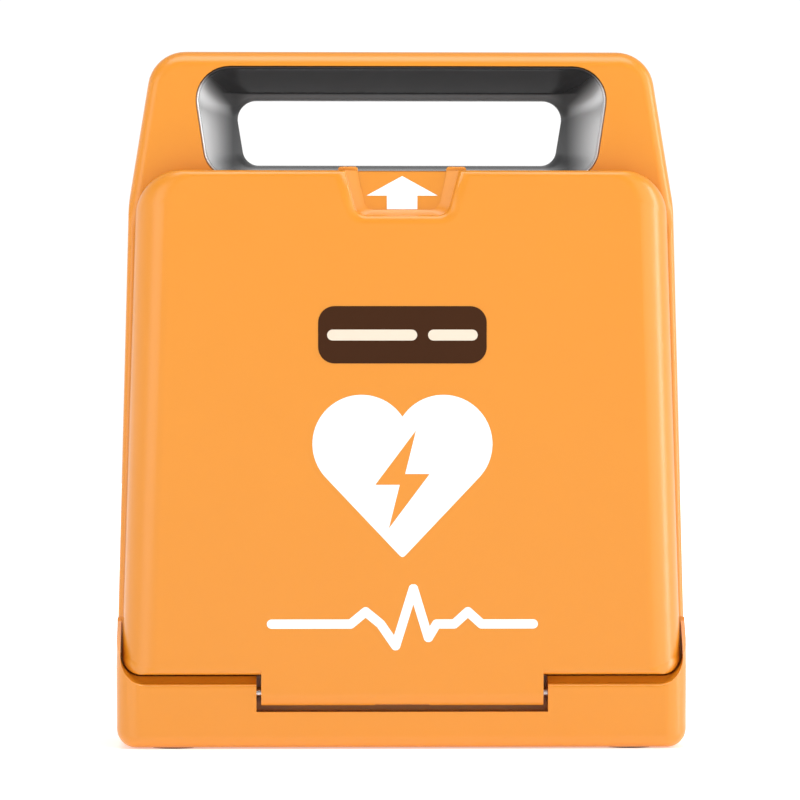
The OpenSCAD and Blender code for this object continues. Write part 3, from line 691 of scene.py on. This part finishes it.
def latch_slider():
    low, high = node_box("latch_slider")
    plate = both_sides([(16, low.z - 0.5, 1), (16.6, 211.9, 1)])
    obj = slab("latch_slider_skin", plate, low.y, SLIDER_BACK_Y)
    for s in (-1, 1):
        x0, x1 = sorted((s * 16.2, s * 23.6))
        add(obj, soft_block("ear", rect(x0, x1, 209.6, high.z, 1.2), low.y, SLIDER_BACK_Y, [0.5] * 4))
        add(obj, bar("lug", (s * 13.6 - 2, -32.5, 196.6), (s * 13.6 + 2, -27.8, 198.5)))
    add(obj, bar("arm", (-8, -32.5, 200.8), (8, -18, 203.2)))
    add(obj, bar("hook", (-8, -20.9, 197.9), (8, -17.9, 203.2)))
    soften(obj, 0.2, 2)
    dress(obj, ORANGE, "latch", "orange_shell", "latch_slider")


# ---------- printed marks on the lid ----------

def print_sheet(name, loops, y, thick, material, body, slot, *nodes):
    """Thin solid of ink: outer loop first, then the loops of its holes."""
    curve = bpy.data.curves.new(name, "CURVE")
    curve.dimensions = "2D"
    curve.fill_mode = "BOTH"
    curve.extrude = thick / 2 * MM
    for loop in loops:
        spline = curve.splines.new("POLY")
        spline.points.add(len(loop) - 1)
        spline.use_cyclic_u = True
        for point, (x, z) in zip(spline.points, loop):
            point.co = (x * MM, z * MM, 0, 1)
    holder = bpy.data.objects.new(name, curve)
    bpy.context.scene.collection.objects.link(holder)
    graph = bpy.context.evaluated_depsgraph_get()
    graph.update()
    mesh = bpy.data.meshes.new_from_object(holder.evaluated_get(graph))
    bpy.data.objects.remove(holder)
    mesh.transform(Matrix.Rotation(math.pi / 2, 4, "X"))
    mesh.transform(Matrix.Translation((0, (y - thick / 2) * MM, 0)))
    obj = add_object(name, mesh)
    bm = bmesh.new()
    bm.from_mesh(mesh)
    bmesh.ops.remove_doubles(bm, verts=bm.verts, dist=1e-6)
    bmesh.ops.recalc_face_normals(bm, faces=bm.faces)
    bm.to_mesh(mesh)
    bm.free()
    dress(obj, material, body, slot, *nodes)


def heart_loop(radius, lobe_x, lobe_z, tip_z, tip_round, steps=36):
    """Plain heart: two round lobes, straight sides and a slightly rounded tip."""
    start = math.pi - math.acos(lobe_x / radius)
    away = math.hypot(lobe_x, tip_z - lobe_z)
    end = math.atan2(tip_z - lobe_z, -lobe_x) + math.acos(radius / away)
    right = [(lobe_x + radius * math.cos(a), lobe_z + radius * math.sin(a))
             for a in (start + (end - start) * k / steps for k in range(steps + 1))]
    side = Vector(right[-1])
    tip = Vector((0, tip_z))
    way = (side - tip).normalized()
    reach = tip_round * 1.3
    lower = []
    for k in range(7):
        f = k / 6
        a, b = tip + way * reach, tip + Vector((-way.x, way.y)) * reach
        p = a.lerp(tip, f).lerp(tip.lerp(b, f), f)
        lower.append((p.x, p.y))
    return right + lower + [(-x, z) for x, z in reversed(right[1:])]


def stroke_loop(path, width, steps=7):
    """Outline of a line of constant width with round ends and round outer corners."""
    pts = [Vector(p) for p in path]

    def one_side(points):
        out = []
        for i, p in enumerate(points):
            into = (p - points[i - 1]).normalized() if i else (points[1] - p).normalized()
            away = (points[i + 1] - p).normalized() if i < len(points) - 1 else into
            n0, n1 = Vector((-into.y, into.x)), Vector((-away.y, away.x))
            turn = into.x * away.y - into.y * away.x
            if turn > 0.05:
                middle = (n0 + n1).normalized()
                out.append(p + middle * width / 2 / max(0.25, middle.dot(n0)))
            else:
                for k in range(steps + 1):
                    n = n0.lerp(n1, k / steps).normalized()
                    out.append(p + n * width / 2)
                    if turn > -0.05:
                        break
        return out

    loop = one_side(pts)
    last = (pts[-1] - pts[-2]).normalized()
    first = (pts[0] - pts[1]).normalized()
    for at_end, way, at in ((True, last, pts[-1]), (False, first, pts[0])):
        side = Vector((-way.y, way.x))
        loop += [at + (side * math.cos(a) + way * math.sin(a)) * width / 2
                 for a in (math.pi * k / 10 for k in range(1, 10))]
        if at_end:
            loop += one_side(list(reversed(pts)))
    return [(p.x, p.y) for p in loop]


def lid_marks():
    """Generic marks: a heart with a bolt, a pulse trace, a sticker with two plain bars, and an arrow."""
    heart = heart_loop(18, 15, 112, 70, 1.2)
    bolt = [(5, 117), (-10, 97), (-1, 97), (-5, 81), (10, 101), (1, 101)]
    print_sheet("heart_symbol_ink", [heart, bolt], LID_Y + 0.03, INK_THICK, WHITE, "lid", "white_print",
                "heart_symbol")
    trace = [(-48, 46), (-19, 46), (-13.5, 50.5), (-8, 46), (-2.5, 38), (4, 59), (9.5, 41), (12.5, 46),
             (19, 46), (24, 50.5), (29, 46), (48, 46)]
    print_sheet("pulse_mark_ink", [stroke_loop(trace, 3.4)], LID_Y + 0.03, INK_THICK, WHITE, "lid",
                "white_print", "pulse_mark")
    plate = rounded_loop(rect(-30.9, 30.9, 141.5, 162.5, 6), 10)
    print_sheet("label_plate_film", [plate], LID_Y + 0.05, 0.2, BROWN, "lid", "label_brown", "label_plate")
    bars = [rounded_loop(rect(x0, x1, 149.9, 153.9, 2), 8) for x0, x1 in ((-27.6, 5.4), (9.4, 27.6))]
    print_sheet("label_plate_bars", bars, LID_Y - 0.14, 0.06, CREAM, "lid", "white_print")
    arrow = [(0, 210.4), (13.1, 203.2), (5.6, 203.2), (5.6, 198.2), (-5.6, 198.2), (-5.6, 203.2),
             (-13.1, 203.2)]
    print_sheet("latch_arrow_ink", [arrow], FLOOR_Y, INK_THICK, WHITE, "latch", "white_print",
                "latch_arrow")


# ---------- behind the lid ----------

def pads_pouch():
    """Sealed foil bag: two sheets welded round the edge and puffed up by what is inside."""
    low, high = node_box("pads_pouch")
    seal, nx, nz = 5.0, 84, 44
    depth = (low.y + high.y) / 2
    rng = random.Random(7)
    folds = [(rng.uniform(-0.8, 0.8), rng.uniform(0, math.pi), rng.uniform(0.5, 1.1)) for _ in range(7)]
    bm = bmesh.new()
    sheets = []
    for side in (-1, 1):
        rows = []
        for j in range(nz + 1):
            row = []
            for i in range(nx + 1):
                x = low.x + 0.3 + (high.x - low.x - 0.6) * i / nx
                z = low.z + 0.3 + (high.z - low.z - 0.6) * j / nz
                edge = min(x - low.x, high.x - x, z - low.z, high.z - z)
                u = 2 * (x - low.x) / (high.x - low.x) - 1
                v = 2 * (z - low.z) / (high.z - low.z) - 1
                full = 0.0
                if edge > seal:
                    across = ((abs(u) ** 3.2) + (abs(v) ** 3.2)) ** (1 / 3.2)
                    full = 5.6 * max(0.0, 1 - across ** 3) ** 0.5 * min(1, (edge - seal) / 5)
                    lumps = noise.noise(Vector((x * 0.09, z * 0.05, side * 4)))
                    full += 0.5 * lumps * min(1, (edge - seal) / 3)
                    for at, angle, deep in folds:
                        away = math.cos(angle) * (u - at) + math.sin(angle) * v * 0.6
                        full -= 0.55 * deep * math.exp(-(away / 0.035) ** 2) * min(1, (edge - seal) / 3)
                flat = 0.28 + (0.16 * math.cos(math.pi * x) * math.cos(math.pi * z) if edge < seal else 0)
                sway = 0.7 * math.sin(x * 0.05 + 1) * math.sin(z * 0.07)
                row.append(bm.verts.new(Vector((x, depth + sway + side * (flat + max(0, full)), z)) * MM))
            rows.append(row)
        sheets.append(rows)
        for a, b in zip(rows, rows[1:]):
            for i in range(nx):
                bm.faces.new((a[i], a[i + 1], b[i + 1], b[i]))
    front, back = sheets
    border = [(0, i) for i in range(nx)] + [(j, nx) for j in range(nz)]
    border += [(nz, i) for i in range(nx, 0, -1)] + [(j, 0) for j in range(nz, 0, -1)]
    for (j0, i0), (j1, i1) in zip(border, border[1:] + border[:1]):
        bm.faces.new((front[j0][i0], front[j1][i1], back[j1][i1], back[j0][i0]))
    bmesh.ops.recalc_face_normals(bm, faces=bm.faces)
    mesh = bpy.data.meshes.new("pads_pouch_bag")
    bm.to_mesh(mesh)
    bm.free()
    obj = add_object("pads_pouch_bag", mesh)
    mesh.shade_smooth()
    dress(obj, FOIL, "unit", "pouch_foil", "pads_pouch")


def round_button(name, node, dish, edge, material, body, slot):
    """Round button with a soft edge and a shallow dish, as a turned profile, and its stem.

    Returns the middle of the dish.
    """
    low, high = node_box(node)
    x, z = (low.x + high.x) / 2, (low.z + high.z) / 2
    radius = (high.x - low.x) / 2
    path = [(0.01, low.y + dish)]
    path += [(radius * 0.8 * k / 6, low.y + dish * (1 - (k / 6) ** 2)) for k in range(1, 7)]
    for k in range(7):
        a = math.pi / 2 * k / 6
        path.append((radius - edge * (1 - math.sin(a)), low.y + edge * (1 - math.cos(a))))
    stem = radius * 0.21 if radius > 8 else radius * 0.29
    path += [(radius, low.y + BUTTON_BODY), (stem, low.y + BUTTON_BODY), (stem, high.y), (0.01, high.y)]
    rings = [[(px, y, pz) for px, pz in circle(x, z, r)] for r, y in path]
    obj = from_rings(name, rings)
    obj.data.shade_smooth()
    obj.data.set_sharp_from_angle(angle=math.radians(40))
    dress(obj, material, body, slot, node)
    return x, z, low.y + dish


def buttons():
    x, z, y = round_button("shock_button_cap", "shock_button", 0.5, 1.2, SHOCK, "shock_key", "shock_orange")
    bolt = ((2.2, 8.6), (-4.6, -0.6), (-0.6, -0.6), (-2.4, -8.6), (4.8, 1.6), (0.8, 1.6))
    bolt = [(x + u, z + v) for u, v in bolt]
    print_sheet("shock_button_bolt", [bolt], y - 0.12, 0.2, WHITE, "shock_key", "white_print")
    round_button("language_button_cap", "language_button", 0.3, 0.8, BLACK, "language_key", "black_plastic")


def panel_print():
    """Plain guide shapes on the overlay: a dark field with openings, a flow arrow and two size dots."""
    y = FACE_Y - 0.46
    field = rounded_loop(rect(-76, 76, 117, 184, 6), 8)
    cuts = [circle(x, z, r) for x, z, r in ((40, 152, 21), (-48, 152, 15.5), (-4, 176, 7), (8, 176, 3.6))]
    cuts += [rounded_loop(rect(*sides, 2), 6) for sides in (
        (-14.5, 6.5, 129, 139), (46, 74, 118.5, 134), (-75.5, -60.5, 168.5, 181.5))]
    print_sheet("panel_overlay_field", [field] + cuts, y, 0.05, INK, "unit", "dark_trim")
    arrow = [(12, 150), (18, 150), (18, 147), (23, 152), (18, 157), (18, 154), (12, 154)]
    print_sheet("panel_overlay_arrow", [arrow], y - 0.08, 0.05, WHITE, "unit", "white_print")
    dots = [circle(-20, 134, 1.6), circle(12, 134, 2.4)]
    print_sheet("panel_overlay_sizes", dots, y - 0.08, 0.05, WHITE, "unit", "white_print")


# ---------- stage ----------

def area_light(name, at, look, size, watts):
    data = bpy.data.lights.new(name, "AREA")
    data.shape = "RECTANGLE"
    data.size, data.size_y = size
    data.energy = watts
    obj = bpy.data.objects.new(name, data)
    bpy.context.scene.collection.objects.link(obj)
    obj.location = at
    obj.rotation_euler = (Vector(look) - Vector(at)).to_track_quat("-Z", "Y").to_euler()


def stage():
    floor_mat = finish("stage_white", (0.94, 0.94, 0.94), 0.7, tint=0.005, height=0.005, strength=0.05,
                       glow=FLOOR_GLOW)
    glow_outwards(floor_mat)
    bm = bmesh.new()
    bmesh.ops.create_grid(bm, x_segments=1, y_segments=1, size=6)
    mesh = bpy.data.meshes.new("floor")
    bm.to_mesh(mesh)
    bm.free()
    floor = add_object("floor", mesh, floor_mat)
    studio_world()
    middle = (0, 0, 0.12)
    area_light("key", (1.3, -0.95, 0.35), middle, (1.2, 1.9), 7.5)
    area_light("left_fill", (-1.15, -1.15, 0.25), middle, (0.9, 1.5), 6.5)
    area_light("top", (0, -0.45, 1.35), middle, (1.3, 0.8), 12)
    area_light("right_strip", (1.2, -0.15, 0.3), middle, (0.25, 1.2), 7)
    bpy.context.scene.view_settings.view_transform = "Standard"


def glow_outwards(mat):
    """The paper on the floor runs out to plain white away from the object."""
    nodes, links = mat.node_tree.nodes, mat.node_tree.links
    where = nodes.new("ShaderNodeTexCoord")
    away = nodes.new("ShaderNodeVectorMath")
    away.operation = "LENGTH"
    links.new(where.outputs["Object"], away.inputs[0])
    fade = fade_node(nodes, links, away.outputs["Value"], 0.3, 1.2, FLOOR_GLOW, 1.0)
    links.new(fade, nodes["Principled BSDF"].inputs["Emission Strength"])


def studio_world():
    """White backdrop behind, dimmer towards the front and the ceiling."""
    world = bpy.data.worlds.new("studio")
    world.use_nodes = True
    nodes, links = world.node_tree.nodes, world.node_tree.links
    where = nodes.new("ShaderNodeTexCoord")
    split = nodes.new("ShaderNodeSeparateXYZ")
    links.new(where.outputs["Generated"], split.inputs["Vector"])
    product = nodes.new("ShaderNodeMath")
    product.operation = "MULTIPLY"
    links.new(fade_node(nodes, links, split.outputs["Z"], 0.15, 0.6, 1.05, 0.55), product.inputs[0])
    links.new(fade_node(nodes, links, split.outputs["Y"], -0.7, 0.4, 0.55, 1.0), product.inputs[1])
    sky = nodes["Background"]
    sky.inputs["Color"].default_value = (1, 1, 1, 1)
    links.new(product.outputs["Value"], sky.inputs["Strength"])
    bpy.context.scene.world = world


def camera():
    away, yaw = 1.9, math.radians(-1.5)
    look = Vector((-0.0009, LID_Y * MM, 0.1281))
    width = 0.2932
    data = bpy.data.cameras.new("camera")
    data.sensor_width = 36
    data.lens = 36 * away / width
    data.clip_end = 50
    obj = bpy.data.objects.new("camera", data)
    bpy.context.scene.collection.objects.link(obj)
    way = Vector((math.sin(yaw), -math.cos(yaw), 0))
    obj.location = look + way * away
    obj.rotation_euler = (-way).to_track_quat("-Z", "Y").to_euler()
    bpy.context.scene.camera = obj


camera()
stage()
rear_housing()
front_housing()
trim_front()
trim_rear()
lid_shell()
latch_slider()
lid_marks()
pads_pouch()
buttons()
panel_print()
